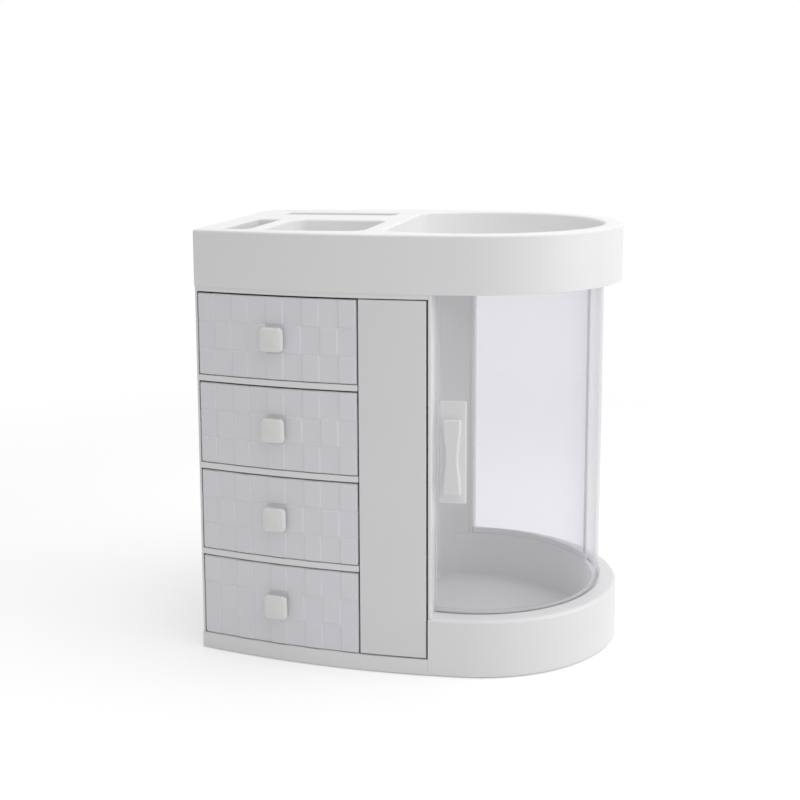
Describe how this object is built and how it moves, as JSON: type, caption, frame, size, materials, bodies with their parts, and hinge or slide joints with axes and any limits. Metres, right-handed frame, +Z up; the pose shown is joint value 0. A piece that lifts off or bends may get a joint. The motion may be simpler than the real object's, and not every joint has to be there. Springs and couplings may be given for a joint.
{
  "type": "vanity organizer cabinet",
  "caption": "White vanity cabinet with checkered drawers, a slim pull-out rack, a round end with a clear turning door over a sunken pocket, and a top tray with open wells.",
  "frame": {"origin": "under the middle of the whole cabinet, on the surface it stands on", "axes": "+Z up, the drawers open towards -Y, the round end is at +X"},
  "size_m": [0.325, 0.245, 0.34],
  "materials": {
    "body_plastic": "smooth moulded white plastic with a soft satin gloss",
    "rack_plastic": "smooth moulded white plastic with a soft satin gloss",
    "drawer_front_plastic": "white plastic, very slightly lavender, with a low checker relief",
    "drawer_box_plastic": "plain moulded white plastic",
    "knob_plastic": "milky white plastic that lets a little light through",
    "handle_plastic": "white plastic",
    "clear_plastic": "clear polished sheet",
    "screw_steel": "plated pan-head screws",
    "foot_rubber": "soft grey rubber"
  },
  "bodies": {
    "cabinet": {"back_panel": "body_plastic", "back_pillar": "body_plastic", "back_screen": "clear_plastic", "back_screen_rail": "body_plastic", "cabinet_top": "body_plastic", "compartment_wall": "body_plastic", "drawer_divider": "body_plastic", "drawer_plinth": "body_plastic", "drawer_shelf_1": "body_plastic", "drawer_shelf_2": "body_plastic", "drawer_shelf_3": "body_plastic", "front_pillar": "body_plastic", "left_side_panel": "body_plastic", "pocket_floor": "body_plastic", "pocket_wall": "body_plastic", "rack_guides": "rack_plastic", "round_base": "body_plastic", "rubber_feet": "foot_rubber", "top_tray": "body_plastic", "tray_screws": "screw_steel"},
    "door": {"door_bottom_rail": "clear_plastic", "door_handle_grip": "handle_plastic", "door_handle_plate": "handle_plastic", "door_handle_screws": "screw_steel", "door_panel": "clear_plastic"},
    "drawer_1": {"drawer_1_box": "drawer_box_plastic", "drawer_1_front": "drawer_front_plastic", "drawer_1_knob": "knob_plastic", "drawer_1_knob_screw": "screw_steel", "drawer_1_knob_stem": "knob_plastic"},
    "drawer_2": {"drawer_2_box": "drawer_box_plastic", "drawer_2_front": "drawer_front_plastic", "drawer_2_knob": "knob_plastic", "drawer_2_knob_screw": "screw_steel", "drawer_2_knob_stem": "knob_plastic"},
    "drawer_3": {"drawer_3_box": "drawer_box_plastic", "drawer_3_front": "drawer_front_plastic", "drawer_3_knob": "knob_plastic", "drawer_3_knob_screw": "screw_steel", "drawer_3_knob_stem": "knob_plastic"},
    "drawer_4": {"drawer_4_box": "drawer_box_plastic", "drawer_4_front": "drawer_front_plastic", "drawer_4_knob": "knob_plastic", "drawer_4_knob_screw": "screw_steel", "drawer_4_knob_stem": "knob_plastic"},
    "rack": {"rack_back": "rack_plastic", "rack_front": "rack_plastic", "rack_shelf_1": "rack_plastic", "rack_shelf_2": "rack_plastic", "rack_shelf_3": "rack_plastic", "rack_shelf_4": "rack_plastic", "rack_spine": "rack_plastic"}
  },
  "joints": [
    {"name": "drawer_1_slide", "type": "slide", "parent": "cabinet", "child": "drawer_1", "axis": [0, -1, 0], "range_m": [0, 0.14]},
    {"name": "drawer_2_slide", "type": "slide", "parent": "cabinet", "child": "drawer_2", "axis": [0, -1, 0], "range_m": [0, 0.14]},
    {"name": "drawer_3_slide", "type": "slide", "parent": "cabinet", "child": "drawer_3", "axis": [0, -1, 0], "range_m": [0, 0.14]},
    {"name": "drawer_4_slide", "type": "slide", "parent": "cabinet", "child": "drawer_4", "axis": [0, -1, 0], "range_m": [0, 0.14]},
    {"name": "rack_slide", "type": "slide", "parent": "cabinet", "child": "rack", "axis": [0, -1, 0], "range_m": [0, 0.15]},
    {"name": "door_turn", "type": "hinge", "parent": "cabinet", "child": "door", "pos_m": [0.043, 0.00106, 0.17], "axis": [0, 0, 1], "range_deg": [0, 66]}
  ]
}
